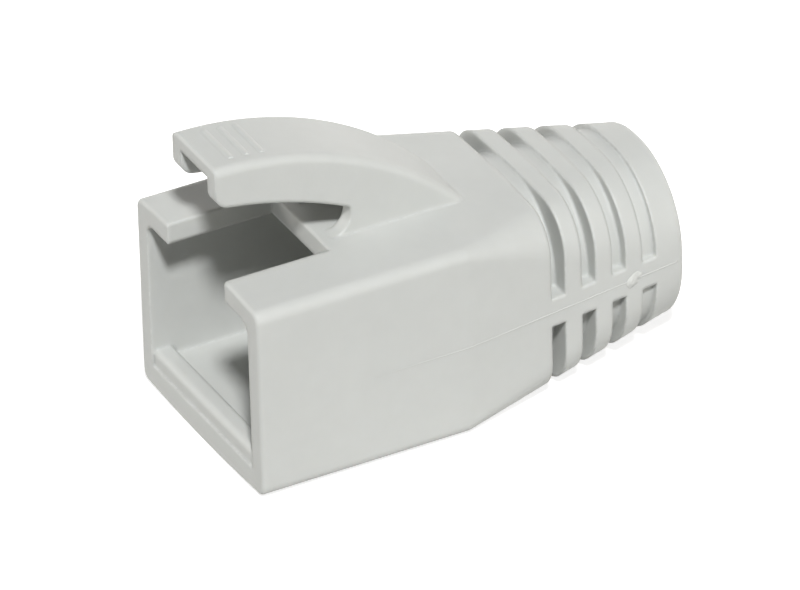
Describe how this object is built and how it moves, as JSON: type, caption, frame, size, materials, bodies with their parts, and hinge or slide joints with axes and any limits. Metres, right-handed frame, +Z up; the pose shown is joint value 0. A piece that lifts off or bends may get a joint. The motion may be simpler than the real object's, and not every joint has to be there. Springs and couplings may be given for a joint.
{
  "type": "rj45 strain relief boot",
  "caption": "Moulded strain relief boot for an RJ45 plug: open socket and latch slot at the mouth, arched latch guard, tapered slotted tail with a cable bore.",
  "frame": {"origin": "middle of the length and width, at the lowest line of the crowned base", "axes": "+Y from the mouth that takes the plug to the tail that the cable leaves by, +Z up through the latch guard, X across the width"},
  "size_m": [0.014, 0.0268, 0.0182],
  "materials": {
    "boot_plastic": "soft light grey moulded plastic with a fine even grain"
  },
  "bodies": {
    "root": {"boot": "boot_plastic"}
  },
  "joints": []
}
